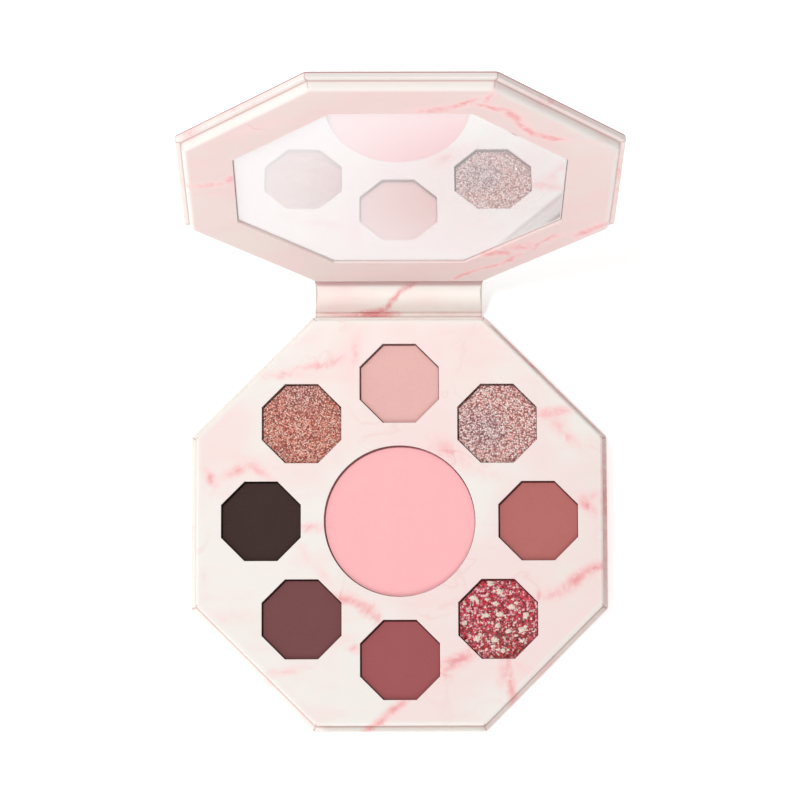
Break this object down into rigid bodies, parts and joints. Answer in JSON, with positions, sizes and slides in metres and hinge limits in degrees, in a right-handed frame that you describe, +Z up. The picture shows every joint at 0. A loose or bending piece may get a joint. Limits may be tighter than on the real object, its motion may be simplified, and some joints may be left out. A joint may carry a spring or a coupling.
{
  "type": "eyeshadow palette",
  "caption": "Octagonal book-style makeup palette of paper-wrapped board: a ring of pressed eyeshadow pans round a blush pan, and a folding lid with an octagonal mirror.",
  "frame": {"origin": "centre of the base cover's underside, on the surface the palette lies on", "axes": "+Z up out of the tray, +Y towards the spine and lid, +X to the right seen from the front edge"},
  "size_m": [0.12, 0.167, 0.1257],
  "materials": {
    "marble_paper": "satin",
    "greyboard": "matte",
    "dyed_card": "matte",
    "tinplate": "satin",
    "magnet_plating": "satin",
    "mirror_glass": "polished",
    "foam_tape": "matte",
    "pale_pink": "matte",
    "champagne_shimmer": "matte",
    "rosy_brown": "matte",
    "raspberry_glitter": "matte",
    "rose_wine": "matte",
    "plum_brown": "matte",
    "dark_brown": "matte",
    "copper_rose": "matte",
    "blush": "matte"
  },
  "bodies": {
    "base": {"base_board": "greyboard", "base_wrap": "marble_paper", "tray_floor": "greyboard", "tray_wall": "greyboard", "pan_bed": "greyboard", "pan_holder": "greyboard", "tray_face": "dyed_card", "tray_wrap": "marble_paper", "tray_magnets": "magnet_plating", "blush_pan": "tinplate", "blush_powder": "blush", "pan_1": "tinplate", "pan_2": "tinplate", "pan_3": "tinplate", "pan_4": "tinplate", "pan_5": "tinplate", "pan_6": "tinplate", "pan_7": "tinplate", "pan_8": "tinplate", "shade_powder_1": "pale_pink", "shade_powder_2": "champagne_shimmer", "shade_powder_3": "rosy_brown", "shade_powder_4": "raspberry_glitter", "shade_powder_5": "rose_wine", "shade_powder_6": "plum_brown", "shade_powder_7": "dark_brown", "shade_powder_8": "copper_rose"},
    "spine": {"base_crease": "marble_paper", "spine_board": "greyboard", "spine_wrap": "marble_paper", "spine_liner": "marble_paper", "lid_crease": "marble_paper"},
    "lid": {"lid_board": "greyboard", "lid_wrap": "marble_paper", "mirror_frame": "greyboard", "mirror_frame_wrap": "marble_paper", "mirror": "mirror_glass", "mirror_tape": "foam_tape", "lid_magnets": "magnet_plating"}
  },
  "joints": [
    {"name": "base_fold", "type": "hinge", "parent": "base", "child": "spine", "pos_m": [0, 0.0612, 0.0009], "axis": [1, 0, 0], "range_deg": [-42, 48], "deforming": ["base_crease"]},
    {"name": "lid_fold", "type": "hinge", "parent": "spine", "child": "lid", "pos_m": [0, 0.07071, 0.00946], "axis": [1, 0, 0], "range_deg": [-31, 59], "deforming": ["lid_crease"]}
  ]
}
